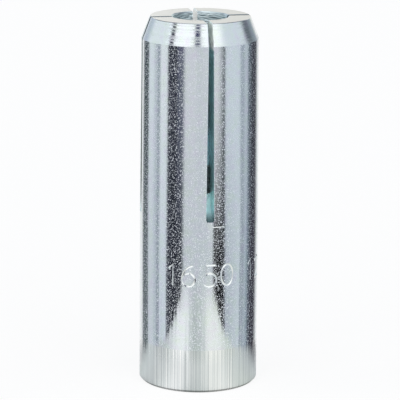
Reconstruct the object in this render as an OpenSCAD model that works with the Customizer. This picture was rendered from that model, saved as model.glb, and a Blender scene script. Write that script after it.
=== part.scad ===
// Drop-in expansion anchor with an internal M12 thread, 50 mm long, for a 16 mm hole.
// It stands on its threaded mouth. The axis is Z and the origin is the centre of the mouth face.
// The slotted end is opened by driving the plug up the tapered bore with a punch, which goes in
// through the thread.

/* [Sleeve] */
// Length of the sleeve, from the threaded mouth to the slotted end
sleeve_length = 50; // [46:0.5:65]
// Outside diameter, which fits the drilled hole
outer_diameter = 16; // [15:0.1:20]
// Bevel round the outside edge of the mouth
mouth_bevel = 0.35; // [0.1:0.05:0.8]

/* [Threaded mouth] */
// Diameter of the bore that the M12 thread is cut in
tap_bore_diameter = 10.2; // [9:0.1:11]
// Depth of the threaded bore, from the mouth
thread_depth = 20; // [14:0.5:22]
// Width and depth of the countersink at the mouth
mouth_countersink = 1.1; // [0.4:0.1:1.6]
// How far the chamber past the thread is wider than the tap bore, on each side
chamber_relief = 0.2; // [0.1:0.05:0.4]

/* [Knurled band] */
// Height of the knurled band above the mouth
knurl_height = 5.9; // [3:0.1:9]
// Number of grooves round the band
knurl_count = 90; // [60:1:100]
// Depth of each groove
knurl_depth = 0.1; // [0.05:0.01:0.15]
// Angle between the two sides of a groove
knurl_angle = 90; // [60:5:110]

/* [Slotted end] */
// Diameter of the hole in the slotted end
end_hole_diameter = 7.4; // [6.4:0.1:8.4]
// Length of the straight part of that hole
end_hole_length = 6; // [3:0.5:8]
// Bevel at the edge of that hole
end_hole_bevel = 0.2; // [0.1:0.05:0.4]
// Length of the tapered bore that the plug is driven up
taper_length = 14.5; // [12:0.5:16]
// Length of the bevelled nose
nose_length = 2.9; // [1.5:0.1:4]
// Slope of the nose from the axis, in degrees
nose_slope = 21; // [15:0.5:30]
// How far the tips of the legs are pressed in, on each side
leg_pinch = 0.15; // [0.05:0.01:0.2]

/* [Slots] */
// Number of slots, which is also the number of legs
slot_count = 4; // [2:1:6]
// Length of a slot at the outside of the sleeve
slot_length = 26.3; // [20:0.1:27]
// Width of a slot at its root
slot_root_width = 1.1; // [0.7:0.01:1.4]
// Width of a slot at the tips of the legs
slot_tip_width = 0.62; // [0.3:0.01:0.69]
// Diameter of the saw that cuts a slot, seen in the curved run-out at its root
saw_diameter = 32; // [30:1:60]
// How far the saw cuts past the wall of the end hole
saw_overcut = 0.7; // [0.3:0.1:1.2]
// Bevel worn on the corners of the saw's teeth
saw_tooth_bevel = 0.16; // [0.05:0.01:0.3]

/* [Plug] */
// Length of the expander plug
plug_length = 5.1; // [4:0.1:8]
// Height of the plug's straight foot, below its taper
plug_foot_height = 1.6; // [1:0.1:2.5]
// Gap between the plug and the tap bore that it is put in through, on each side
plug_entry_gap = 0.1; // [0.05:0.01:0.2]
// Gap left between the seated plug and the tapered bore, square to the taper
plug_seat_gap = 0.02; // [0.01:0.01:0.05]
// Bevel round the plug's leading edge
plug_nose_bevel = 0.7; // [0.3:0.05:1]
// Bevel round the plug's foot
plug_foot_bevel = 0.3; // [0.1:0.05:0.6]

/* [Hidden] */

// Segments of a full turn
turn_segments = 128;
// How far a cutting shape runs past the surface that it cuts
past = 1;

outer_r = outer_diameter / 2;
tap_bore_r = tap_bore_diameter / 2;
chamber_r = tap_bore_r + chamber_relief;
end_hole_r = end_hole_diameter / 2;

// Heights along the axis, upwards from the mouth
slot_root_z = sleeve_length - slot_length;
nose_z = sleeve_length - nose_length;
end_hole_z = sleeve_length - end_hole_length;
taper_z = end_hole_z - taper_length;

// The legs lean in from the roots of their slots to the nose
leg_tip_r = outer_r - leg_pinch;
nose_face_r = leg_tip_r - nose_length * tan(nose_slope);

// Slope of the tapered bore: how fast its radius falls with height
taper_rate = (chamber_r - end_hole_r) / taper_length;
taper_angle = atan(taper_rate);

// The plug seats where the taper has closed in to the plug's own radius
plug_r = tap_bore_r - plug_entry_gap;
plug_shoulder_z = taper_z + (chamber_r - plug_r - plug_seat_gap / cos(taper_angle)) / taper_rate;
plug_foot_z = plug_shoulder_z - plug_foot_height;
plug_top_z = plug_foot_z + plug_length;
plug_bevel_z = plug_top_z - plug_nose_bevel;
plug_bevel_r = plug_r - (plug_bevel_z - plug_shoulder_z) * taper_rate;

// Half section of the sleeve, as radius and height
function sleeve_section() = [
    [outer_r - mouth_bevel, 0],
    [outer_r, mouth_bevel],
    [outer_r, slot_root_z],
    [leg_tip_r, nose_z],
    [nose_face_r, sleeve_length],
    [end_hole_r + end_hole_bevel, sleeve_length],
    [end_hole_r, sleeve_length - end_hole_bevel],
    [end_hole_r, end_hole_z],
    [chamber_r, taper_z],
    [chamber_r, thread_depth + chamber_relief],
    [tap_bore_r, thread_depth],
    [tap_bore_r, mouth_countersink],
    [tap_bore_r + mouth_countersink, 0]
];

// Half section of the plug: a straight foot, the taper and two bevelled edges
function plug_section() = [
    [0, plug_foot_z],
    [plug_r - plug_foot_bevel, plug_foot_z],
    [plug_r, plug_foot_z + plug_foot_bevel],
    [plug_r, plug_shoulder_z],
    [plug_bevel_r, plug_bevel_z],
    [plug_bevel_r - plug_nose_bevel, plug_top_z],
    [0, plug_top_z]
];

// Outline that the knurling wheel leaves round the band, before its crests are trimmed by the
// outside of the sleeve: one valley and one crest for each groove
function knurl_outline() =
    let (
        valley_r = outer_r - knurl_depth,
        crest_r = valley_r + valley_r * sin(180 / knurl_count) / tan(knurl_angle / 2)
    )
    [for (i = [0 : 2 * knurl_count - 1])
        let (r = i % 2 == 0 ? valley_r : crest_r, turn = i * 180 / knurl_count)
        [r * cos(turn), r * sin(turn)]];

// What the knurling wheel takes out of the band, fading at its top where the wheel lifts at 45 degrees
module knurl_grooves() {
    difference() {
        translate([0, 0, -past])
            linear_extrude(knurl_height + past)
                difference() {
                    circle(outer_r + past, $fn = turn_segments);
                    polygon(knurl_outline());
                }
        rotate_extrude($fn = turn_segments)
            polygon([
                [0, knurl_height - knurl_depth],
                [outer_r - knurl_depth, knurl_height - knurl_depth],
                [outer_r + past, knurl_height + past],
                [0, knurl_height + past]
            ]);
    }
}

// The saw at the end of its cut, on edge in the plane of one slot, with worn tooth corners
module saw_blade() {
    saw_r = saw_diameter / 2;
    half = slot_root_width / 2;
    rotate([0, 90, 0])
        rotate_extrude($fn = turn_segments)
            polygon([
                [0, -half],
                [saw_r - saw_tooth_bevel, -half],
                [saw_r, -half + saw_tooth_bevel],
                [saw_r, half - saw_tooth_bevel],
                [saw_r - saw_tooth_bevel, half],
                [0, half]
            ]);
}

// One slot, at the front of the sleeve: the saw's path, closed in to a wedge by the pressed legs
module slot() {
    saw_r = saw_diameter / 2;
    saw_y = -(end_hole_r - saw_overcut) - saw_r;
    reach = saw_y + outer_r;
    saw_z = slot_root_z + sqrt(saw_r * saw_r - reach * reach);
    intersection() {
        union() {
            translate([0, saw_y, saw_z])
                saw_blade();
            translate([-slot_root_width, saw_y, saw_z])
                cube([2 * slot_root_width, saw_r, sleeve_length - saw_z + past]);
        }
        rotate([90, 0, 0])
            linear_extrude(outer_r + past)
                polygon([
                    [-slot_root_width / 2, slot_root_z - past],
                    [slot_root_width / 2, slot_root_z - past],
                    [slot_root_width / 2, slot_root_z],
                    [slot_tip_width / 2, sleeve_length],
                    [slot_tip_width / 2, sleeve_length + past],
                    [-slot_tip_width / 2, sleeve_length + past],
                    [-slot_tip_width / 2, sleeve_length],
                    [-slot_root_width / 2, slot_root_z]
                ]);
    }
}

// The one-piece sleeve: turned, knurled, sawn into legs and pressed in
module sleeve() {
    color("#c3ced1")
        difference() {
            rotate_extrude($fn = turn_segments)
                polygon(sleeve_section());
            for (i = [0 : slot_count - 1])
                rotate([0, 0, i * 360 / slot_count])
                    slot();
            knurl_grooves();
        }
}

// The expander plug, seated in the tapered bore and not yet driven
module expander_plug() {
    color("#6f8f99")
        rotate_extrude($fn = turn_segments)
            polygon(plug_section());
}

sleeve();
expander_plug();
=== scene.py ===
import math

import bmesh
import bpy
from mathutils import Matrix, Vector


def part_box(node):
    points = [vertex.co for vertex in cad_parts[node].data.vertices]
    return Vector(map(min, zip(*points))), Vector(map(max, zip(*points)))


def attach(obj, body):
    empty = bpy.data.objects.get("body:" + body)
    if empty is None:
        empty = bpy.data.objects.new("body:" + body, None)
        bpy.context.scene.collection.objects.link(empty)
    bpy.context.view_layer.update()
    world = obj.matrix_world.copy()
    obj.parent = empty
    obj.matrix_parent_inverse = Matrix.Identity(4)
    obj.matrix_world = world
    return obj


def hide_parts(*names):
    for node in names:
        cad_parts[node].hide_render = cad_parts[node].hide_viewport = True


bl_info = {
    "name": "Drop-in anchor",
    "version": (1, 0, 0),
    "blender": (4, 5, 0),
    "location": "View3D > Sidebar > Anchor",
    "description": "Turns, knurls, saws, taps and plates a drop-in expansion anchor and seats its plug",
    "category": "Add Mesh",
}

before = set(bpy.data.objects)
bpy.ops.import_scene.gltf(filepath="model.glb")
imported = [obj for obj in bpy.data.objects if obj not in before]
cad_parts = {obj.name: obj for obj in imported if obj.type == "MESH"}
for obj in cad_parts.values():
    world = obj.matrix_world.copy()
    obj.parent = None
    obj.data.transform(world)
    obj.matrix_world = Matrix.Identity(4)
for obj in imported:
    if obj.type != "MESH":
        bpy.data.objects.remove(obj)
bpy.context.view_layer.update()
SLEEVE_LOW, SLEEVE_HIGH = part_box("sleeve")
PLUG_LOW, PLUG_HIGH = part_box("expander_plug")

MM = 0.001
UP = Vector((0, 0, 1))
# Points that lie closer together than this are one.
MERGE = 0.0005 * MM


# Settings

def length(name, text, value):
    """A length in metres that a user can change."""
    return bpy.props.FloatProperty(name=name, description=text, default=value, unit="LENGTH", precision=5)


def angle(name, text, degrees):
    """An angle that a user can change."""
    return bpy.props.FloatProperty(
        name=name, description=text, default=math.radians(degrees), subtype="ANGLE", precision=3
    )


def count(name, text, value):
    """A whole number that a user can change."""
    return bpy.props.IntProperty(name=name, description=text, default=value, min=1)


def shade(name, text, value):
    """A colour that a user can change, as sRGB hex."""
    return bpy.props.StringProperty(name=name, description=text, default=value)


class SleeveSizes(bpy.types.PropertyGroup):
    """Sizes of the sleeve, as the turner, the saw and the tap leave them."""

    overall: length("Length", "Mouth to slotted end", SLEEVE_HIGH.z - SLEEVE_LOW.z)
    outer_radius: length("Outer radius", "Outside of the sleeve", SLEEVE_HIGH.x)
    mouth_bevel: length("Mouth bevel", "Bevel round the outside of the mouth", 0.35 * MM)
    tap_radius: length("Tap bore radius", "Bore that the thread is cut in", 5.1 * MM)
    thread_depth: length("Thread depth", "Depth of the threaded bore", 20 * MM)
    countersink: length("Countersink", "Width and depth of the countersink", 1.1 * MM)
    chamber_radius: length("Chamber radius", "Chamber between thread and taper", 5.3 * MM)
    taper_start: length("Taper start", "Height at which the taper begins", 29.5 * MM)
    taper_end: length("Taper end", "Height at which the end hole begins", 44 * MM)
    end_hole_radius: length("End hole radius", "Hole in the slotted end", 3.7 * MM)
    end_hole_bevel: length("End hole bevel", "Bevel at the edge of that hole", 0.2 * MM)
    nose_length: length("Nose length", "Height of the bevelled nose", 2.9 * MM)
    nose_slope: angle("Nose slope", "Slope of the nose from the axis", 21)
    nose_edge: length("Nose edge", "Edge broken at the slotted end", 0.07 * MM)
    leg_pinch: length("Leg pinch", "How far the tips of the legs are pressed in", 0.15 * MM)
    columns: count("Columns", "Faces round the sleeve", 360)


class KnurlSizes(bpy.types.PropertyGroup):
    """Sizes of the knurled band at the mouth."""

    height: length("Height", "Top of the band above the mouth", 5.9 * MM)
    fade: length("Fade", "Height over which the grooves fade out", 0.5 * MM)
    depth: length("Depth", "Depth of the deepest grooves", 0.05 * MM)
    columns_per_groove: count("Columns per groove", "Columns of the sleeve in one groove", 4)


class SlotSizes(bpy.types.PropertyGroup):
    """Sizes of the sawn slots."""

    legs: count("Legs", "Number of slots, and of legs between them", 4)
    root_height: length("Root height", "Height of a slot's outer end, with its edge broken", 23.55 * MM)
    root_width: length("Root width", "Width at the root", 1.1 * MM)
    tip_width: length("Tip width", "Width between the tips of the legs", 0.62 * MM)
    saw_radius: length("Saw radius", "Radius of the saw", 16 * MM)
    saw_overcut: length("Overcut", "How far the saw cuts past the end hole's wall", 0.7 * MM)
    tooth_bevel: length("Tooth bevel", "Worn corner of the saw's teeth", 0.16 * MM)
    lip_width: length("Lip width", "Width of the edge that the saw turns over", 0.11 * MM)
    lip_depth: length("Lip depth", "Depth of that edge", 0.05 * MM)


class ThreadSizes(bpy.types.PropertyGroup):
    """Sizes of the internal metric thread."""

    major_radius: length("Major radius", "Root of the internal thread", 6 * MM)
    pitch: length("Pitch", "Rise of one turn", 1.75 * MM)
    run_out: length("Run-out", "Plain bore left above the last turn", 2.2 * MM)
    steps: count("Steps", "Steps in one turn", 60)


class StampSizes(bpy.types.PropertyGroup):
    """Sizes of the stamped numbers: the hole's diameter, the length and the thread, in millimetres."""

    foot: length("Foot", "Height of the foot of the numbers", 14.8 * MM)
    height: length("Height", "Height of a number", 2.9 * MM)
    width: length("Width", "Width of a digit", 1.75 * MM)
    gap: length("Gap", "Space between digits", 0.6 * MM)
    stroke: length("Stroke", "Radius of the stamp's rounded stroke", 0.17 * MM)
    lift: length("Lift", "How far the stroke's centre is from the surface", 0.07 * MM)
    hole_turn: angle("Hole number's turn", "Turn of the hole's diameter round the axis", -29)
    length_turn: angle("Length number's turn", "Turn of the length round the axis", 9)
    thread_turn: angle("Thread number's turn", "Turn of the thread's diameter round the axis", 57)


class PlugSizes(bpy.types.PropertyGroup):
    """Sizes of the expander plug."""

    radius: length("Radius", "Radius of the straight foot", PLUG_HIGH.x)
    foot_height: length("Foot height", "Height of the straight foot", 1.6 * MM)
    nose_bevel: length("Nose bevel", "Bevel round the leading edge", 0.7 * MM)
    foot_bevel: length("Foot bevel", "Bevel round the foot", 0.3 * MM)
    columns: count("Columns", "Faces round the plug", 180)


class PlatingColours(bpy.types.PropertyGroup):
    """Colours of the zinc plate."""

    plate: shade("Plate", "Zinc plate", "#DCE3E6")
    plate_green: shade("Greenish plate", "Thicker passivation, seen here and there", "#D9E3DE")
    plate_violet: shade("Violet plate", "Thinner passivation, seen here and there", "#DCDCE6")
    grain: shade("Grain", "Rough grains in the plate", "#F6FAFF")
    sawn: shade("Sawn wall", "Plate on the sawn walls of the slots", "#D0ECEF")
    bore: shade("Bore", "Plate inside the bore, where it is thin", "#E0EEF1")
    end_face: shade("End face", "Plate on the turned end face", "#E0E1DD")
    knurl: shade("Knurl", "Plate on the knurled band", "#E4E8E9")
    # The grey and pale streaks of the knurled band are painted shade and painted highlights.
    knurl_shade: shade("Grey streak", "Dull streaks in the knurled band", "#CCD0D2")
    knurl_highlight: shade("Pale streak", "Bright streaks in the knurled band", "#FAFAF9")
    stamped: shade("Stamped", "Plate in the stamped numbers", "#E6EAEB")
    plug: shade("Plug", "Plate on the plug", "#AEC4CC")


class CameraPlace(bpy.types.PropertyGroup):
    """The camera, as worked out from the outline of the sleeve in the photograph."""

    distance: length("Distance", "Level distance from the axis", 337.02 * MM)
    height: length("Height", "Height above the mouth", 104.08 * MM)
    turn: angle("Turn", "Turn round the axis", -11)
    tilt: angle("Tilt", "Downward tilt", 13.2366)
    roll: angle("Roll", "Roll about the line of sight", 0.4258)
    swing: angle("Swing", "Swing to the right", 0.0238)
    lens: bpy.props.FloatProperty(
        name="Lens", description="Focal length in mm", default=230.33, unit="CAMERA"
    )


GROUPS = {
    "anchor_sleeve": SleeveSizes,
    "anchor_knurl": KnurlSizes,
    "anchor_slots": SlotSizes,
    "anchor_thread": ThreadSizes,
    "anchor_stamp": StampSizes,
    "anchor_plug": PlugSizes,
    "anchor_colours": PlatingColours,
    "anchor_camera": CameraPlace,
}


# Modelling

def deselect():
    """Leaves edit mode and deselects everything."""
    if bpy.context.object and bpy.context.object.mode != "OBJECT":
        bpy.ops.object.mode_set(mode="OBJECT")
    bpy.ops.object.select_all(action="DESELECT")


def pick(piece, also=()):
    """Makes a piece the active one, selected alone or with others."""
    deselect()
    for one in (*also, piece):
        one.select_set(True)
    bpy.context.view_layer.objects.active = piece


def select_points(piece, wanted):
    """In edit mode, selects the points of a piece whose place passes the test."""
    bpy.ops.mesh.select_mode(type="VERT")
    bpy.ops.mesh.select_all(action="DESELECT")
    shape = bmesh.from_edit_mesh(piece.data)
    for point in shape.verts:
        point.select_set(wanted(point.co))
    shape.select_flush(True)
    bmesh.update_edit_mesh(piece.data)


def outward():
    """In edit mode, merges doubles and turns every face outwards."""
    bpy.ops.mesh.select_all(action="SELECT")
    bpy.ops.mesh.remove_doubles(threshold=MERGE)
    bpy.ops.mesh.normals_make_consistent(inside=False)


def turned(name, section, columns):
    """A turned piece: its half section, as radius and height, is drawn point by point and spun."""
    deselect()
    bpy.ops.mesh.primitive_plane_add(size=MM)
    piece = bpy.context.object
    piece.name = piece.data.name = name
    bpy.ops.object.mode_set(mode="EDIT")
    bpy.ops.mesh.select_mode(type="VERT")
    bpy.ops.mesh.select_all(action="SELECT")
    bpy.ops.mesh.merge(type="CENTER")
    bpy.ops.transform.translate(value=(section[0][0], 0, section[0][1]))
    for here, there in zip(section, section[1:]):
        step = (there[0] - here[0], 0, there[1] - here[1])
        bpy.ops.mesh.extrude_region_move(TRANSFORM_OT_translate={"value": step})
    bpy.ops.mesh.select_all(action="SELECT")
    bpy.ops.mesh.spin(steps=columns, angle=math.tau, center=(0, 0, 0), axis=UP)
    outward()
    bpy.ops.object.mode_set(mode="OBJECT")
    return piece


def block(name, low, high):
    """A block with six faces, from its four lower and four upper corners, each in the same order."""
    deselect()
    bpy.ops.mesh.primitive_cube_add(size=2)
    piece = bpy.context.object
    piece.name = piece.data.name = name
    order = [(-1, -1), (1, -1), (1, 1), (-1, 1)]
    for point in piece.data.vertices:
        place = order.index((round(point.co.x), round(point.co.y)))
        point.co = (high if point.co.z > 0 else low)[place]
    pick(piece)
    bpy.ops.object.mode_set(mode="EDIT")
    outward()
    bpy.ops.object.mode_set(mode="OBJECT")
    return piece


def combine(piece, tool, operation):
    """Adds, cuts or keeps the common part of a piece and a tool, exactly, and throws the tool away."""
    pick(piece)
    cut = piece.modifiers.new(operation.title(), "BOOLEAN")
    cut.operation = operation
    cut.solver = "EXACT"
    cut.object = tool
    bpy.ops.object.modifier_apply(modifier=cut.name)
    bpy.data.objects.remove(tool)
    if not piece.data.polygons:
        raise RuntimeError("nothing is left of " + piece.name)
    return piece


def clean(piece):
    """Merges the points that the cuts leave almost on each other."""
    pick(piece)
    bpy.ops.object.mode_set(mode="EDIT")
    bpy.ops.mesh.select_all(action="SELECT")
    bpy.ops.mesh.remove_doubles(threshold=MERGE)
    bpy.ops.object.mode_set(mode="OBJECT")


def join(pieces):
    """Joins tools that don't meet into one."""
    pick(pieces[0], pieces[1:])
    bpy.ops.object.join()
    return pieces[0]


def turned_copies(tool, number):
    """The tool and its copies, spread evenly round the axis, as one."""
    copies = [tool]
    for i in range(1, number):
        pick(tool)
        bpy.ops.object.duplicate()
        copy = bpy.context.object
        bpy.ops.object.mode_set(mode="EDIT")
        bpy.ops.mesh.select_all(action="SELECT")
        bpy.ops.transform.rotate(value=i * math.tau / number, orient_axis="Z", center_override=(0, 0, 0))
        bpy.ops.object.mode_set(mode="OBJECT")
        copies.append(copy)
    return join(copies)


def sleeve_section(s, k, slots):
    """Half section of the sleeve, as radius and height: up the outside, over the end and down the bore."""
    top, outside = s.overall, s.outer_radius
    nose_foot = top - s.nose_length
    tip = outside - s.leg_pinch
    nose_face = tip - s.nose_length * math.tan(s.nose_slope)
    edge = s.nose_edge
    relief = s.chamber_radius - s.tap_radius
    return [
        (outside - s.mouth_bevel, 0),
        (outside, s.mouth_bevel),
        (outside, k.height - k.fade),
        (outside, k.height),
        (outside, slots.root_height),
        (tip, nose_foot),
        (nose_face + edge * math.tan(s.nose_slope), top - edge),
        (nose_face - edge, top),
        (s.end_hole_radius + s.end_hole_bevel, top),
        (s.end_hole_radius, top - s.end_hole_bevel),
        (s.end_hole_radius, s.taper_end),
        (s.chamber_radius, s.taper_start),
        (s.chamber_radius, s.thread_depth + relief),
        (s.tap_radius, s.thread_depth),
        (s.tap_radius, s.countersink),
        (s.tap_radius + s.countersink, 0),
        (outside - s.mouth_bevel, 0),
    ]


def knurl_mouth(sleeve, s, k):
    """Presses the valleys of the knurled band in, in three depths that follow each other without a pattern.

    The middle column of a valley goes in all the way, and the columns beside it go in half as far.
    """
    step = math.tau / s.columns
    columns, depths = ((0, 1), (1, 0.5), (3, 0.5)), (1, 0.45, 0.75)
    pick(sleeve)
    bpy.ops.object.mode_set(mode="EDIT")
    for column, share in columns:
        for kind, rolled in enumerate(depths):
            def in_valley(co):
                """Whether a point lies in this column of a valley that has this depth."""
                low = s.mouth_bevel / 2 < co.z < k.height - k.fade / 2
                number = round(math.atan2(co.y, co.x) / step)
                valley = (number + 1) // k.columns_per_groove
                mine = number % k.columns_per_groove == column and valley * valley % 7 % 3 == kind
                return low and mine and co.xy.length > s.outer_radius - s.mouth_bevel / 2
            select_points(sleeve, in_valley)
            pressed = 1 - share * rolled * k.depth / s.outer_radius
            bpy.ops.transform.resize(value=(pressed, pressed, 1), center_override=(0, 0, 0))
    bpy.ops.object.mode_set(mode="OBJECT")


def slot_half_width(s, slots, height):
    """Half the width of a slot at a height: the pressed legs close it towards the tip."""
    share = (height - slots.root_height) / (s.overall - slots.root_height)
    return (slots.root_width + share * (slots.tip_width - slots.root_width)) / 2


def saw_path(s, slots):
    """What the saw takes out for the front slot, closed in to a wedge by the pressed legs."""
    past, faces = MM, 256
    saw_y = slots.saw_overcut - s.end_hole_radius - slots.saw_radius
    reach = saw_y + s.outer_radius
    saw_z = slots.root_height + math.sqrt(slots.saw_radius**2 - reach**2)
    deselect()
    bpy.ops.mesh.primitive_cylinder_add(
        vertices=faces, radius=slots.saw_radius, depth=slots.root_width,
        location=(0, saw_y, saw_z), rotation=(0, math.pi / 2, 0),
    )
    blade = bpy.context.object
    bpy.ops.object.transform_apply()
    bpy.ops.object.mode_set(mode="EDIT")
    bpy.ops.mesh.select_mode(type="EDGE")
    bpy.ops.mesh.select_all(action="DESELECT")
    shape = bmesh.from_edit_mesh(blade.data)
    for edge in shape.edges:
        edge.select_set(abs(edge.verts[0].co.x - edge.verts[1].co.x) < slots.tooth_bevel)
    bmesh.update_edit_mesh(blade.data)
    bpy.ops.mesh.bevel(offset=slots.tooth_bevel, segments=1, affect="EDGES")
    bpy.ops.object.mode_set(mode="OBJECT")

    def oblong(half, front, back):
        """Four corners across the slot, seen from above."""
        return [(-half, front), (half, front), (half, back), (-half, back)]

    def at(height, corners):
        """The corners at a height."""
        return [Vector((x, y, height)) for x, y in corners]

    run = oblong(slots.root_width, saw_y, saw_y + slots.saw_radius)
    path = block("saw_run", at(saw_z, run), at(s.overall + past, run))
    combine(blade, path, "UNION")
    low, high = slots.root_height - past, s.overall + past
    front = -s.outer_radius - past
    wedge = block(
        "leg_gap",
        at(low, oblong(slot_half_width(s, slots, low), front, 0)),
        at(high, oblong(slot_half_width(s, slots, high), front, 0)),
    )
    return combine(blade, wedge, "INTERSECT")


def slot_lips(s, slots):
    """What is taken off the edges of the front slot, along the leg, the nose and the end face.

    The cut starts at nothing just under the slot's root, is full at the knee and runs on into the end hole.
    """
    tip = s.outer_radius - s.leg_pinch
    nose_foot = s.overall - s.nose_length
    nose_face = tip - s.nose_length * math.tan(s.nose_slope)
    knee_height = slots.root_height + 0.6 * MM
    below_root, into_hole, within_slot = 0.05 * MM, 0.5 * MM, 0.01 * MM
    reach, pointed = 3, 0.1

    def cut(place, normal, height, share=1):
        """Four corners across the slot, from just under the surface to just above it."""
        half = slot_half_width(s, slots, height) - within_slot
        under = place - normal * slots.lip_depth * share
        above = place + normal * slots.lip_depth * (reach - 1)
        wide = half + slots.lip_width * (reach if share else pointed)
        return [
            above + Vector((-wide, 0, 0)),
            above + Vector((wide, 0, 0)),
            under + Vector((half, 0, 0)),
            under + Vector((-half, 0, 0)),
        ]

    front = Vector((0, -1, 0))
    sloped = Vector((0, -math.cos(s.nose_slope), math.sin(s.nose_slope)))
    foot = Vector((0, -s.outer_radius, slots.root_height - below_root))
    knee = Vector((0, -s.outer_radius, knee_height))
    shoulder = Vector((0, -tip, nose_foot))
    rim = Vector((0, -nose_face, s.overall))
    inside = Vector((0, -s.end_hole_radius + into_hole, s.overall))
    mitre = (front + sloped).normalized()
    corner = (sloped + UP).normalized()
    stations = [
        cut(foot, front, slots.root_height, 0),
        cut(knee, front, knee_height),
        cut(shoulder, mitre, nose_foot),
        cut(rim, corner, s.overall),
        cut(inside, UP, s.overall),
    ]
    runs = [block("lip_%d" % i, a, b) for i, (a, b) in enumerate(zip(stations, stations[1:]))]
    lips = runs[0]
    for run in runs[1:]:
        combine(lips, run, "UNION")
    return lips


def thread_cutter(s, t):
    """The helical groove that the tap cuts, from below the mouth to its run-out.

    Its flanks slope by 30 degrees, and half its floor is a sixteenth of the pitch.
    """
    flank = math.tan(math.radians(30))
    inside_bore = 0.25 * MM
    inner = s.tap_radius - inside_bore
    root = t.pitch / 16
    crest = root + (t.major_radius - inner) * flank
    deselect()
    bpy.ops.mesh.primitive_plane_add(size=2)
    cutter = bpy.context.object
    cutter.name = "tap"
    corners = {
        (-1, -1): (inner, -crest), (1, -1): (t.major_radius, -root),
        (1, 1): (t.major_radius, root), (-1, 1): (inner, crest),
    }
    for point in cutter.data.vertices:
        radius, height = corners[(round(point.co.x), round(point.co.y))]
        point.co = (radius, 0, height - t.pitch)
    turns = (s.thread_depth - t.run_out + t.pitch) / t.pitch
    whole = int(turns)
    pick(cutter)
    bpy.ops.object.mode_set(mode="EDIT")
    bpy.ops.mesh.select_all(action="SELECT")
    bpy.ops.mesh.delete(type="ONLY_FACE")
    bpy.ops.object.mode_set(mode="OBJECT")
    screw = cutter.modifiers.new("Screw", "SCREW")
    screw.axis = "Z"
    screw.angle = math.tau
    screw.screw_offset = t.pitch
    screw.iterations = whole
    screw.steps = screw.render_steps = t.steps
    screw.use_merge_vertices = False
    bpy.ops.object.modifier_apply(modifier=screw.name)
    bpy.ops.object.mode_set(mode="EDIT")
    bpy.ops.mesh.select_all(action="SELECT")
    bpy.ops.mesh.remove_doubles(threshold=MERGE)
    bpy.ops.mesh.select_all(action="DESELECT")
    bpy.ops.mesh.select_mode(type="EDGE")
    bpy.ops.mesh.select_non_manifold()
    bpy.ops.mesh.edge_face_add()
    outward()
    bpy.ops.object.mode_set(mode="OBJECT")
    return cutter


def arc(centre, radii, start, end, steps):
    """Points along an arc of an ellipse, in degrees."""
    points = []
    for i in range(steps + 1):
        turn = math.radians(start + (end - start) * i / steps)
        points.append((centre[0] + radii[0] * math.cos(turn), centre[1] + radii[1] * math.sin(turn)))
    return points


def digit_strokes(digit, width, height):
    """The strokes of a plain stamped digit, from its lower left corner, in shares of its width and height."""
    half = width / 2
    bowl = 0.31 * height
    if digit == "1":
        return [[(0.22 * width, 0.78 * height), (0.6 * width, height), (0.6 * width, 0)]]
    if digit == "0":
        return [arc((half, height / 2), (half, height / 2), 90, 450, 28)]
    if digit == "2":
        shoulder = arc((half, 0.7 * height), (half, 0.3 * height), 165, -30, 12)
        return [shoulder + [(0.06 * width, 0)], [(0.06 * width, 0), (width, 0)]]
    if digit == "6":
        back = arc((width, bowl), (width, height - bowl), 100, 180, 12)
        return [back, arc((half, bowl), (half, bowl), 180, 540, 24)]
    if digit == "5":
        flag = [(0.9 * width, height), (0.16 * width, height), (0.13 * width, 0.57 * height)]
        return [flag, arc((0.45 * width, bowl), (0.52 * width, bowl), 128, -140, 20)]
    raise ValueError("there are no strokes for the digit " + digit)


def stamped_stroke(points, radius, surface_radius):
    """A rounded stroke that follows points on the outside of the sleeve, each a turn and a height."""
    closed = math.dist(points[0], points[-1]) < MERGE
    if closed:
        points = points[:-1]
    deselect()
    path = bpy.data.curves.new("stroke", "CURVE")
    path.dimensions = "3D"
    path.bevel_depth = radius
    path.bevel_resolution = 2
    path.use_fill_caps = True
    line = path.splines.new("POLY")
    line.points.add(len(points) - 1)
    line.use_cyclic_u = closed
    for point, (turn, height) in zip(line.points, points):
        across = surface_radius * math.sin(turn)
        point.co = (across, -surface_radius * math.cos(turn), height, 1)
    stroke = bpy.data.objects.new("stroke", path)
    bpy.context.collection.objects.link(stroke)
    pick(stroke)
    bpy.ops.object.convert(target="MESH")
    stroke = bpy.context.object
    bpy.ops.object.mode_set(mode="EDIT")
    outward()
    bpy.ops.object.mode_set(mode="OBJECT")
    return stroke


def stamp_number(sleeve, number, turn, s, stamp):
    """Stamps a number into the sleeve, centred on a turn round the axis."""
    pitch = stamp.width + stamp.gap
    left = -(len(number) * pitch - stamp.gap) / 2
    for place, digit in enumerate(number):
        for points in digit_strokes(digit, stamp.width, stamp.height):
            marks = [
                (turn + (left + place * pitch + x) / s.outer_radius, stamp.foot + y) for x, y in points
            ]
            combine(sleeve, stamped_stroke(marks, stamp.stroke, s.outer_radius + stamp.lift), "DIFFERENCE")


def scuff(sleeve, s, slots):
    """The fine mark that the saw's clamp leaves under the front slot."""
    height = slots.root_height - 0.65 * MM
    start, degrees, stroke = 2.5, 12, 0.06 * MM
    line = [(math.radians(start + i), height) for i in range(degrees + 1)]
    combine(sleeve, stamped_stroke(line, stroke, s.outer_radius), "DIFFERENCE")


def plug_section(s, p):
    """Half section of the plug, as radius and height, closed on the axis. It tapers as the bore does."""
    low, high = PLUG_LOW.z, PLUG_HIGH.z
    rate = (s.chamber_radius - s.end_hole_radius) / (s.taper_end - s.taper_start)
    shoulder = low + p.foot_height
    bevel_height = high - p.nose_bevel
    bevel_radius = p.radius - (bevel_height - shoulder) * rate
    soft = 0.06 * MM
    return [
        (0, low),
        (p.radius - p.foot_bevel, low),
        (p.radius, low + p.foot_bevel),
        (p.radius, shoulder),
        (bevel_radius + soft * rate, bevel_height - soft),
        (bevel_radius - soft, bevel_height + soft),
        (bevel_radius - p.nose_bevel, high),
        (0, high),
    ]


# Materials

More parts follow.
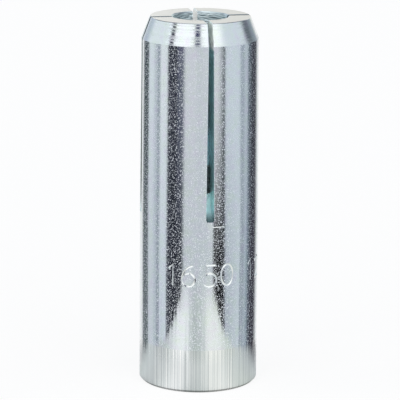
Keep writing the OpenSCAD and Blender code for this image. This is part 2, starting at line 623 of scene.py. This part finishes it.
def linear(hexed):
    """An sRGB hex colour as linear RGBA."""
    parts = [int(hexed[i:i + 2], 16) / 255 for i in (1, 3, 5)]
    return [c / 12.92 if c <= 0.04045 else ((c + 0.055) / 1.055) ** 2.4 for c in parts] + [1]


def grey(value):
    """A linear grey."""
    return (value, value, value, 1)


def node(tree, kind, inputs=(), **settings):
    """Adds a node with its settings; an input is a value or another node's output."""
    made = tree.nodes.new(kind)
    for name, value in settings.items():
        setattr(made, name, value)
    for socket, value in dict(inputs).items():
        if isinstance(value, bpy.types.NodeSocket):
            tree.links.new(value, made.inputs[socket])
        else:
            made.inputs[socket].default_value = value
    return made


def maths(tree, operation, *values):
    """The result of a sum on one, two or three values."""
    return node(tree, "ShaderNodeMath", dict(enumerate(values)), operation=operation).outputs[0]


def between(tree, factor, low, high, start=0, full=1):
    """A value that runs from low to high while a factor runs from a start to its full."""
    return node(tree, "ShaderNodeMapRange", {
        "Value": factor, "From Min": start, "From Max": full, "To Min": low, "To Max": high,
    }).outputs[0]


def rising(tree, factor, start, full):
    """0 up to a start, 1 from full on, and a straight rise between them."""
    return between(tree, factor, 0, 1, start, full)


def mixed(tree, factor, first, second):
    """A colour that runs from a first to a second with a factor."""
    return node(tree, "ShaderNodeMix", {0: factor, 6: first, 7: second}, data_type="RGBA").outputs[2]


def ramp(tree, factor, stops):
    """A colour ramp with the given stops, each a place from 0 to 1 and an sRGB colour or a linear grey."""
    made = node(tree, "ShaderNodeValToRGB", {0: factor})
    elements = made.color_ramp.elements
    while len(elements) < len(stops):
        elements.new(0.5)
    for element, (place, colour) in zip(elements, sorted(stops, key=lambda stop: stop[0])):
        element.position = place
        element.color = linear(colour) if isinstance(colour, str) else grey(colour)
    return made.outputs[0]


def axes(tree, vector):
    """The x, y and z of a vector."""
    return node(tree, "ShaderNodeSeparateXYZ", {0: vector}).outputs


def closer(tree, place, scale, shift=(0, 0, 0)):
    """Coordinates on which a pattern lies closer, by a factor along each axis, and shifted."""
    return node(tree, "ShaderNodeMapping", {0: place, "Location": shift, "Scale": scale}).outputs[0]


def noise(tree, place, scale, detail):
    """Cloudy noise, with patches about 1 / scale across."""
    return node(tree, "ShaderNodeTexNoise", {"Vector": place, "Scale": scale, "Detail": detail}).outputs[0]


def line_noise(tree, distance, detail):
    """Noise along one direction, with patches about 1 long."""
    return node(
        tree, "ShaderNodeTexNoise", {"W": distance, "Scale": 1, "Detail": detail}, noise_dimensions="1D"
    ).outputs[0]


def bump(tree, surface, height, distance):
    """Relief of a height map, with its depth in metres."""
    made = node(tree, "ShaderNodeBump", {"Height": height, "Distance": distance, "Strength": 1})
    tree.links.new(made.outputs[0], surface.inputs["Normal"])


def steel(name, shading):
    """A metal material with its surface, for a shading function to fill in on coordinates in mm."""
    material = bpy.data.materials.new(name)
    material.use_nodes = True
    tree = material.node_tree
    surface = tree.nodes["Principled BSDF"]
    surface.inputs["Metallic"].default_value = 1
    place = node(tree, "ShaderNodeTexCoord").outputs["Object"]
    shading(tree, surface, closer(tree, place, (1 / MM, 1 / MM, 1 / MM)))
    return material


def tinted(tree, place, colours):
    """Passivation that drifts between three pale tints over about 1 mm."""
    drift = noise(tree, place, scale=0.9, detail=3)
    return ramp(tree, drift, [(0.3, colours.plate_violet), (0.5, colours.plate), (0.7, colours.plate_green)])


def bright_plate(colours):
    """Bright zinc plate over turned steel, passivated pale blue: a mirror broken by rough grains, about
    0.15 mm across."""
    def shading(tree, surface, place):
        field = node(
            tree, "ShaderNodeTexNoise", {"Vector": place, "Scale": 6.4, "Detail": 3, "Roughness": 0.6}
        ).outputs[0]
        grains = ramp(tree, field, [(0.54, 0), (0.63, 1)])
        plate = mixed(tree, grains, tinted(tree, place, colours), linear(colours.grain))
        tree.links.new(plate, surface.inputs["Base Color"])
        tree.links.new(between(tree, grains, 0.08, 0.6), surface.inputs["Roughness"])
        bump(tree, surface, field, 0.002 * MM)
    return steel("bright_zinc_plate", shading)


def turned_nose(colours):
    """Zinc plate over a nose with turning rings, about 0.1 mm apart, some smooth and some torn, which fray
    reflections."""
    def shading(tree, surface, place):
        rings = noise(tree, closer(tree, place, (0.05, 0.05, 9)), scale=1, detail=3)
        torn = ramp(tree, rings, [(0.42, 0), (0.62, 1)])
        tree.links.new(tinted(tree, place, colours), surface.inputs["Base Color"])
        tree.links.new(between(tree, torn, 0.09, 0.27), surface.inputs["Roughness"])
        bump(tree, surface, rings, 0.012 * MM)
    return steel("turned_zinc_plate", shading)


def faced_end(colours):
    """Zinc plate over the faced end, with fine rings round the hole, about 0.1 mm apart."""
    def shading(tree, surface, place):
        flat = node(tree, "ShaderNodeVectorMath", {0: place, 1: (1, 1, 0)}, operation="MULTIPLY").outputs[0]
        out = node(tree, "ShaderNodeVectorMath", {0: flat}, operation="LENGTH").outputs["Value"]
        rings_per_mm = 9
        rings = line_noise(tree, maths(tree, "MULTIPLY", out, rings_per_mm), detail=2)
        surface.inputs["Base Color"].default_value = linear(colours.end_face)
        surface.inputs["Roughness"].default_value = 0.34
        bump(tree, surface, rings, 0.012 * MM)
    return steel("faced_zinc_plate", shading)


def sawn_wall(s, slots, colours):
    """Zinc plate over a sawn wall, with fine lines across the slot, about 0.15 mm apart.

    The front and back slots have painted shade at the root, and above it a run-out made pale with painted
    light. The side slots fade from a pale root to a dark nose, and their run-out faces that look up are pale
    with painted light. Past a line near the nose the walls are near white with painted light, and matt in the
    front slot, and smoother and less like metal towards the back one.
    """
    def shading(tree, surface, place):
        lines = noise(tree, closer(tree, place, (1, 1, 6)), scale=1.2, detail=4)
        _, deep, high = axes(tree, place)
        rise = rising(tree, high, slots.root_height / MM, s.overall / MM)
        # The run-out's pale colour is painted light.
        sawn, run_out = colours.sawn, "#E7FFFF"
        painted_light_from, painted_light_to = 0.864, 0.875
        # Painted shade at the root, painted light on the run-out above it, and near-white painted light past
        # the line near the nose.
        front_and_back = ramp(tree, rise, [
            (0.004, "#5C7377"), (0.017, "#7C9497"), (0.03, "#A4BEC2"), (0.05, sawn), (0.09, run_out),
            (0.14, run_out), (0.18, sawn), (painted_light_from, sawn), (painted_light_to, "#FFFFFF"), (0.93, "#F8FBF9"),
            (1, "#EEF3F0"),
        ])
        side_wall = ramp(tree, rise, [
            (0.02, "#FFFFFF"), (0.2, "#BFC6C1"), (0.88, "#BFC6C1"), (0.95, "#626E76"),
        ])
        # Painted light on the side slots' run-out, where its faces look up.
        side_run_out = ramp(tree, rise, [(0.14, "#DDF0F0"), (0.18, sawn)])
        upward = axes(tree, node(tree, "ShaderNodeTexCoord").outputs["Normal"])[2]
        side = mixed(tree, rising(tree, upward, 0.2, 0.3), side_wall, side_run_out)
        off_middle = rising(tree, maths(tree, "ABSOLUTE", deep), 1, 2)
        # The zone of painted light near the nose, where the wall is also matt and less like metal.
        cleaned = ramp(tree, rise, [(painted_light_from, 0), (painted_light_to, 1)])
        matt_metal = between(tree, deep, 0.97, 0.12, start=-4, full=4)
        tree.links.new(mixed(tree, off_middle, side, front_and_back), surface.inputs["Base Color"])
        tree.links.new(between(tree, cleaned, 0.6, matt_metal), surface.inputs["Roughness"])
        tree.links.new(between(tree, cleaned, 1, matt_metal), surface.inputs["Metallic"])
        bump(tree, surface, lines, 0.02 * MM)
    return steel("sawn_zinc_plate", shading)


def bored_wall(colours):
    """Thin zinc plate in the bore, over coarse tool rings, about 0.25 mm apart, that catch the light."""
    def shading(tree, surface, place):
        chatter = noise(tree, closer(tree, place, (0.7, 0.7, 4), shift=(1, 8, 5)), scale=1, detail=3)
        surface.inputs["Base Color"].default_value = linear(colours.bore)
        surface.inputs["Roughness"].default_value = 0.3
        bump(tree, surface, chatter, 0.25 * MM)
    return steel("bored_zinc_plate", shading)


def knurled_plate(colours):
    """Zinc plate over rolled lines up the band, about 0.2 mm apart and none alike, which fade in from its
    top: fine pale streaks of painted highlight and grey streaks of painted shade over soft reflections."""
    def shading(tree, surface, place):
        x, y, high = axes(tree, place)
        turn = maths(tree, "ARCTAN2", x, maths(tree, "MULTIPLY", y, -1))
        lines_per_radian, fade_start, fade_end = 38, 3.6, 6
        lines = line_noise(tree, maths(tree, "MULTIPLY", turn, lines_per_radian), detail=3)
        # Pale streaks are painted highlights and grey ones painted shade, along the rolled lines.
        streaks = ramp(tree, lines, [
            (0.3, colours.knurl_shade), (0.52, colours.knurl), (0.75, colours.knurl_highlight),
        ])
        faded = rising(tree, high, fade_start, fade_end)
        tree.links.new(streaks, surface.inputs["Base Color"])
        rough = between(tree, lines, 0.28, 0.5)
        tree.links.new(between(tree, faded, rough, 0.12), surface.inputs["Roughness"])
        bump(tree, surface, lines, 0.01 * MM)
    return steel("knurled_zinc_plate", shading)


def stamped_plate(colours):
    """Zinc plate over coined strokes, which glint: they are smooth, with duller patches 0.4 mm across."""
    def shading(tree, surface, place):
        surface.inputs["Base Color"].default_value = linear(colours.stamped)
        patches = noise(tree, place, scale=2.5, detail=2)
        tree.links.new(between(tree, patches, 0.08, 0.3), surface.inputs["Roughness"])
    return steel("stamped_zinc_plate", shading)


def formed_plug(colours):
    """Zinc plate over a cold-formed plug, with faint draw marks, about 0.3 mm apart and 2.5 mm long."""
    def shading(tree, surface, place):
        marks = noise(tree, closer(tree, place, (3, 3, 0.4)), scale=1, detail=4)
        surface.inputs["Base Color"].default_value = linear(colours.plug)
        tree.links.new(between(tree, marks, 0.16, 0.36), surface.inputs["Roughness"])
        bump(tree, surface, marks, 0.01 * MM)
    return steel("formed_zinc_plate", shading)


def finish_of(face, s, k, slots):
    """Which finish a face of the sleeve has, from where it lies and how it faces."""
    middle, normal = face.center, face.normal
    aside, ahead = sorted((abs(middle.x), abs(middle.y)))
    across = normal.x if abs(middle.x) < abs(middle.y) else normal.y
    out = middle.xy.normalized().dot(normal.xy)
    nose_foot = s.overall - s.nose_length
    within_slot, under_skin, under_stamp, past_bore = 0.02 * MM, 0.03 * MM, 0.003 * MM, 0.95 * MM
    in_slot = middle.z > slots.root_height and aside < slots.root_width / 2 + within_slot
    on_wall = abs(across) > 0.97
    on_run_out = middle.z < s.taper_start and out > 0.3 and ahead < s.outer_radius - under_skin
    in_thread = middle.xy.length < s.tap_radius + past_bore and middle.z < s.thread_depth
    if in_slot and (on_wall or on_run_out):
        return "sawn"
    if normal.z > 0.95 and middle.z > nose_foot:
        return "faced"
    if out < -0.01 or in_thread:
        return "bored"
    if middle.z > nose_foot:
        return "turned"
    if middle.z < k.height and out > 0.5:
        return "knurled"
    if middle.z < slots.root_height and middle.xy.length < s.outer_radius - under_stamp:
        return "stamped"
    return "bright"


def finish_sleeve(sleeve, s, k, slots, colours):
    """Gives each worked surface of the sleeve its own finish."""
    finishes = {
        "bright": bright_plate(colours),
        "turned": turned_nose(colours),
        "faced": faced_end(colours),
        "sawn": sawn_wall(s, slots, colours),
        "bored": bored_wall(colours),
        "knurled": knurled_plate(colours),
        "stamped": stamped_plate(colours),
    }
    sleeve.data.materials.clear()
    for finish in finishes.values():
        sleeve.data.materials.append(finish)
    names = list(finishes)
    for face in sleeve.data.polygons:
        face.material_index = names.index(finish_of(face, s, k, slots))


def smooth(piece, degrees):
    """Smooth shading, broken at edges sharper than an angle."""
    pick(piece)
    bpy.ops.object.shade_smooth_by_angle(angle=math.radians(degrees))


# Stage

# A ring of cards goes round the object. Each card has its first and last turn from the camera's side, in
# degrees, and its colour, and the light runs evenly from one card to the next.
BACKDROP, DUSK, FLAG, DEEP = "#FFFFFF", "#BDC4CC", "#777A82", "#393B47"
LOW_CARDS = [
    (-147, -147, BACKDROP), (-136.5, -120, "#6A7175"), (-115.5, -105, "#DCE1E6"), (-98, -98, "#CCD3DB"),
    (-93.5, -93.5, "#C4CBD3"), (-89.5, -86.5, "#9EA5AF"), (-80, -68, "#E2E8F0"), (-63.5, -60, DEEP),
    (-52, -52, "#23252E"), (-46, -34.5, "#31333D"), (-28, 27.2, "#D3D7DC"), (28.9, 50.5, "#0B0B11"),
    (53.8, 53.8, "#BDC2CB"), (64, 64, "#C8CFD5"), (86.5, 86.5, "#DAE1E7"), (90.5, 97, "#A7AFB8"),
    (102, 104, "#BCC6D0"), (109, 109, "#8A96A2"), (116, 116, "#5A5E68"), (123, 139, "#3E3B45"),
    (157, 157, BACKDROP),
]
MIDDLE_CARDS = [
    (-146, -146, BACKDROP), (-136.8, -120.5, "#545C60"), (-115.5, -103, "#EAF0F4"), (-96, -92, "#CBD0D8"),
    (-88, -86, "#9AA2AC"), (-80.5, -66.5, "#F6F9FB"), (-63, -46, DEEP), (-42, -42, "#636678"),
    (-33.5, -33.5, "#6C6F80"), (-27.5, -9, "#E2E2E7"), (-4, 12, "#DADCE1"), (34.5, 34.5, "#EEEEF0"),
    (42.5, 42.5, "#BFC2C7"), (48.5, 48.5, "#5C6066"), (52.5, 83, "#DFE6ED"), (89, 95, "#AEB7C0"),
    (100, 106, "#C8D0D8"), (112, 112, "#6E7882"), (125, 140, "#46464F"), (156, 156, BACKDROP),
]
NOSE_CARDS = [
    (-72, -67.4, "#F0F4F7"), (-65.4, -58.7, "#242836"), (-56.6, -12.5, BACKDROP), (-10, -1, "#242A50"),
    (1.8, 42, BACKDROP), (55, 102, "#CFD5DA"),
]
HIGH_CARDS = [(-180, -174, BACKDROP), (-163, -128, "#B8C0CC"), (-118, -80, "#DCE1E4")] + NOSE_CARDS + [
    (112, 122, "#61666E"), (145, 145, "#A0AAB2"), (156, 180, "#DEDDD8"),
]
SKY_CARDS = [(-180, -105, FLAG), (-95, -80, "#DCE1E4")] + NOSE_CARDS + [(112, 180, FLAG)]
TOP_CARDS = [(-180, 180, DUSK)]
# The floor's glow that metal sees, with cards laid out as above. The darker cards from -9 to 7 degrees,
# between two bright ones, are the object's painted shadow falling towards the camera.
FLOOR_CARDS = [
    (-180, -150, "#E4E4E0"), (-140, -124, "#CCD0CE"), (-110, -110, "#CDD5D1"), (-88, -88, "#D5DADA"),
    (-73, -60, "#C6C9C9"), (-48, -48, "#DCE0DE"), (-35, -22, "#FAFAF9"), (-9, -4, "#C0C5C3"),
    (7, 7, "#CDD2CF"), (18, 27, "#F6F6F1"), (38, 38, "#F0F1EC"), (53, 66, "#D3D8D2"), (78, 78, "#C6CBC8"),
    (94, 94, "#CED3D3"), (104, 135, "#BCC2C3"), (150, 180, "#E4E4E0"),
]
# The rings over the low one: where each starts and where it is full, in degrees above the level, its cards
# and its strength.
RINGS = (
    (-14, -10.5, MIDDLE_CARDS, 1),
    (-6.5, 8, HIGH_CARDS, 1.3),
    (27, 33, SKY_CARDS, 1.3),
    (60, 72, TOP_CARDS, 1),
)
# The white table that metal sees: how far left of the axis its middle lies, how it narrows with depth, and
# where it fades out to the sides, behind the object and far from it.
TABLE_SHIFT = 0.85 * MM
TABLE_NARROWING = 0.12
TABLE_SIDES = (21.8 * MM, 24.2 * MM)
TABLE_BACK = (2.5 * MM, 5.5 * MM)
TABLE_END = (44 * MM, 72 * MM)
# Its glow in the object's own shade and clear of it, and the distance over which one becomes the other.
TABLE_GLOW = (0.4, 1.12)
SHADE_EDGE = (8.1 * MM, 8.9 * MM)
# The white that the camera sees on the floor, and its share over a surface that takes shadows.
FLOOR_WHITE, FLOOR_WHITE_SHARE = 1.06, 0.8


def ring(tree, turn, cards):
    """The light of a ring of cards at a turn, as 0 to 1."""
    stops = []
    for start, end, colour in cards:
        for place in sorted({start, end}):
            stops.append(((place + 180) / 360, colour))
    return ramp(tree, turn, stops)


def bearing(tree, direction, camera):
    """The turn of a direction round the axis, from the camera's own, as 0 to 1."""
    x, y, _ = direction
    turn = maths(tree, "ARCTAN2", x, maths(tree, "MULTIPLY", y, -1))
    from_camera = maths(tree, "ADD", turn, -camera.turn)
    return rising(tree, maths(tree, "WRAP", from_camera, math.pi, -math.pi), -math.pi, math.pi)


def studio_world(camera):
    """Rings of pale cards and dark flags at five heights, and plain white to the camera."""
    world = bpy.data.worlds.new("studio")
    bpy.context.scene.world = world
    world.use_nodes = True
    tree = world.node_tree
    tree.nodes.clear()
    ray = axes(tree, node(tree, "ShaderNodeTexCoord").outputs["Generated"])
    turn = bearing(tree, ray, camera)
    light = ring(tree, turn, LOW_CARDS)
    for start, full, cards, strength in RINGS:
        rise = rising(tree, ray[2], math.sin(math.radians(start)), math.sin(math.radians(full)))
        higher = node(
            tree, "ShaderNodeVectorMath", {0: ring(tree, turn, cards), "Scale": strength}, operation="SCALE"
        ).outputs[0]
        light = mixed(tree, rise, light, higher)
    to_camera = node(tree, "ShaderNodeLightPath").outputs["Is Camera Ray"]
    seen = mixed(tree, to_camera, light, grey(1))
    shine = node(tree, "ShaderNodeBackground", {"Color": seen, "Strength": 1})
    end = node(tree, "ShaderNodeOutputWorld")
    tree.links.new(shine.outputs[0], end.inputs[0])


def off_table(tree, place, far, camera):
    """How far a place on the floor is off the table that metal sees, from 0 on it to 1 clear of it."""
    level = node(tree, "ShaderNodeMapping", {0: place, "Rotation": (0, 0, -camera.turn)}).outputs[0]
    side, depth, _ = axes(tree, level)
    aside = maths(tree, "ABSOLUTE", maths(tree, "ADD", side, TABLE_SHIFT))
    beside = rising(tree, maths(tree, "MULTIPLY_ADD", depth, TABLE_NARROWING, aside), *TABLE_SIDES)
    behind = rising(tree, depth, *TABLE_BACK)
    return maths(tree, "MAXIMUM", maths(tree, "MAXIMUM", beside, behind), rising(tree, far, *TABLE_END))


def pale_floor(camera):
    """A plain white floor. Metal sees it as a narrow white table that runs towards the camera, with the
    object's shadow and the shade at its foot painted into the table's glow.
    """
    deselect()
    bpy.ops.mesh.primitive_circle_add(vertices=96, radius=3, fill_type="NGON")
    floor = bpy.context.object
    floor.name = "floor"
    material = bpy.data.materials.new("white_table")
    material.use_nodes = True
    tree = material.node_tree
    tree.nodes.clear()
    place = node(tree, "ShaderNodeTexCoord").outputs["Object"]
    far = node(tree, "ShaderNodeVectorMath", {0: place}, operation="LENGTH").outputs["Value"]
    path = node(tree, "ShaderNodeLightPath").outputs
    cards = ring(tree, bearing(tree, axes(tree, place), camera), FLOOR_CARDS)
    strength = between(tree, far, *TABLE_GLOW, *SHADE_EDGE)
    glow = node(tree, "ShaderNodeEmission", {"Color": cards, "Strength": strength}).outputs[0]
    white = node(tree, "ShaderNodeEmission", {"Color": grey(1), "Strength": FLOOR_WHITE}).outputs[0]
    matt = node(tree, "ShaderNodeBsdfDiffuse", {"Color": grey(0.95)}).outputs[0]
    shadowed = node(tree, "ShaderNodeMixShader", {0: FLOOR_WHITE_SHARE, 1: matt, 2: white}).outputs[0]
    table = node(tree, "ShaderNodeMixShader", {0: path["Is Camera Ray"], 1: glow, 2: shadowed}).outputs[0]
    unseen = maths(tree, "MULTIPLY", off_table(tree, place, far, camera), path["Is Glossy Ray"])
    clear = node(tree, "ShaderNodeBsdfTransparent").outputs[0]
    surface = node(tree, "ShaderNodeMixShader", {0: unseen, 1: table, 2: clear}).outputs[0]
    end = node(tree, "ShaderNodeOutputMaterial")
    tree.links.new(surface, end.inputs[0])
    floor.data.materials.append(material)


def photo_camera(camera):
    """The camera at the photograph's viewing angle."""
    deselect()
    bpy.ops.object.camera_add()
    made = bpy.context.object
    made.data.lens = camera.lens
    made.data.sensor_width = 36
    made.data.clip_start = 0.01
    made.data.clip_end = 100
    place = Matrix.Rotation(camera.turn, 4, "Z") @ Matrix.Translation((0, -camera.distance, camera.height))
    aim = (
        Matrix.Rotation(-camera.swing, 4, "Z")
        @ Matrix.Rotation(math.pi / 2 - camera.tilt, 4, "X")
        @ Matrix.Rotation(camera.roll, 4, "Z")
    )
    made.matrix_world = place @ aim
    bpy.context.scene.camera = made


# Operators

class ANCHOR_OT_sleeve(bpy.types.Operator):
    """Turn, knurl, saw, tap, stamp and plate the sleeve"""

    bl_idname = "anchor.sleeve"
    bl_label = "Sleeve"

    def execute(self, context):
        scene = context.scene
        s, k, slots = scene.anchor_sleeve, scene.anchor_knurl, scene.anchor_slots
        sleeve = turned("slotted_sleeve", sleeve_section(s, k, slots), s.columns)
        knurl_mouth(sleeve, s, k)
        combine(sleeve, turned_copies(saw_path(s, slots), slots.legs), "DIFFERENCE")
        combine(sleeve, turned_copies(slot_lips(s, slots), slots.legs), "DIFFERENCE")
        stamp = scene.anchor_stamp
        numbers = {"16": stamp.hole_turn, "50": stamp.length_turn, "12": stamp.thread_turn}
        for number, turn in numbers.items():
            stamp_number(sleeve, number, turn, s, stamp)
        scuff(sleeve, s, slots)
        combine(sleeve, thread_cutter(s, scene.anchor_thread), "DIFFERENCE")
        clean(sleeve)
        smooth(sleeve, degrees=18)
        finish_sleeve(sleeve, s, k, slots, scene.anchor_colours)
        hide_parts("sleeve")
        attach(sleeve, "root")
        return {"FINISHED"}


class ANCHOR_OT_plug(bpy.types.Operator):
    """Form and plate the expander plug, seated in the tapered bore"""

    bl_idname = "anchor.plug"
    bl_label = "Expander plug"

    def execute(self, context):
        scene = context.scene
        p = scene.anchor_plug
        plug = turned("cone_plug", plug_section(scene.anchor_sleeve, p), p.columns)
        smooth(plug, degrees=30)
        plug.data.materials.append(formed_plug(scene.anchor_colours))
        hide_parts("expander_plug")
        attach(plug, "root")
        return {"FINISHED"}


class ANCHOR_OT_stage(bpy.types.Operator):
    """Set up the camera, the white floor and the studio's cards"""

    bl_idname = "anchor.stage"
    bl_label = "Stage"

    def execute(self, context):
        camera = context.scene.anchor_camera
        photo_camera(camera)
        pale_floor(camera)
        studio_world(camera)
        context.scene.view_settings.view_transform = "Standard"
        return {"FINISHED"}


OPERATORS = (ANCHOR_OT_stage, ANCHOR_OT_sleeve, ANCHOR_OT_plug)


class ANCHOR_PT_panel(bpy.types.Panel):
    """The anchor's steps and settings"""

    bl_label = "Drop-in anchor"
    bl_space_type = "VIEW_3D"
    bl_region_type = "UI"
    bl_category = "Anchor"

    def draw(self, context):
        for operator in OPERATORS:
            self.layout.operator(operator.bl_idname)
        for group, settings in GROUPS.items():
            box = self.layout.box()
            for name in settings.__annotations__:
                box.prop(getattr(context.scene, group), name)


def register():
    """Adds the settings, the operators and the panel to Blender."""
    for settings in GROUPS.values():
        bpy.utils.register_class(settings)
    for group, settings in GROUPS.items():
        setattr(bpy.types.Scene, group, bpy.props.PointerProperty(type=settings))
    for operator in OPERATORS:
        bpy.utils.register_class(operator)
    bpy.utils.register_class(ANCHOR_PT_panel)


def unregister():
    """Takes them out again."""
    bpy.utils.unregister_class(ANCHOR_PT_panel)
    for operator in reversed(OPERATORS):
        bpy.utils.unregister_class(operator)
    for group, settings in GROUPS.items():
        delattr(bpy.types.Scene, group)
        bpy.utils.unregister_class(settings)


def main():
    """Builds the stage, the sleeve and the plug."""
    register()
    bpy.ops.anchor.stage()
    bpy.ops.anchor.sleeve()
    bpy.ops.anchor.plug()


if __name__ == "__main__":
    main()
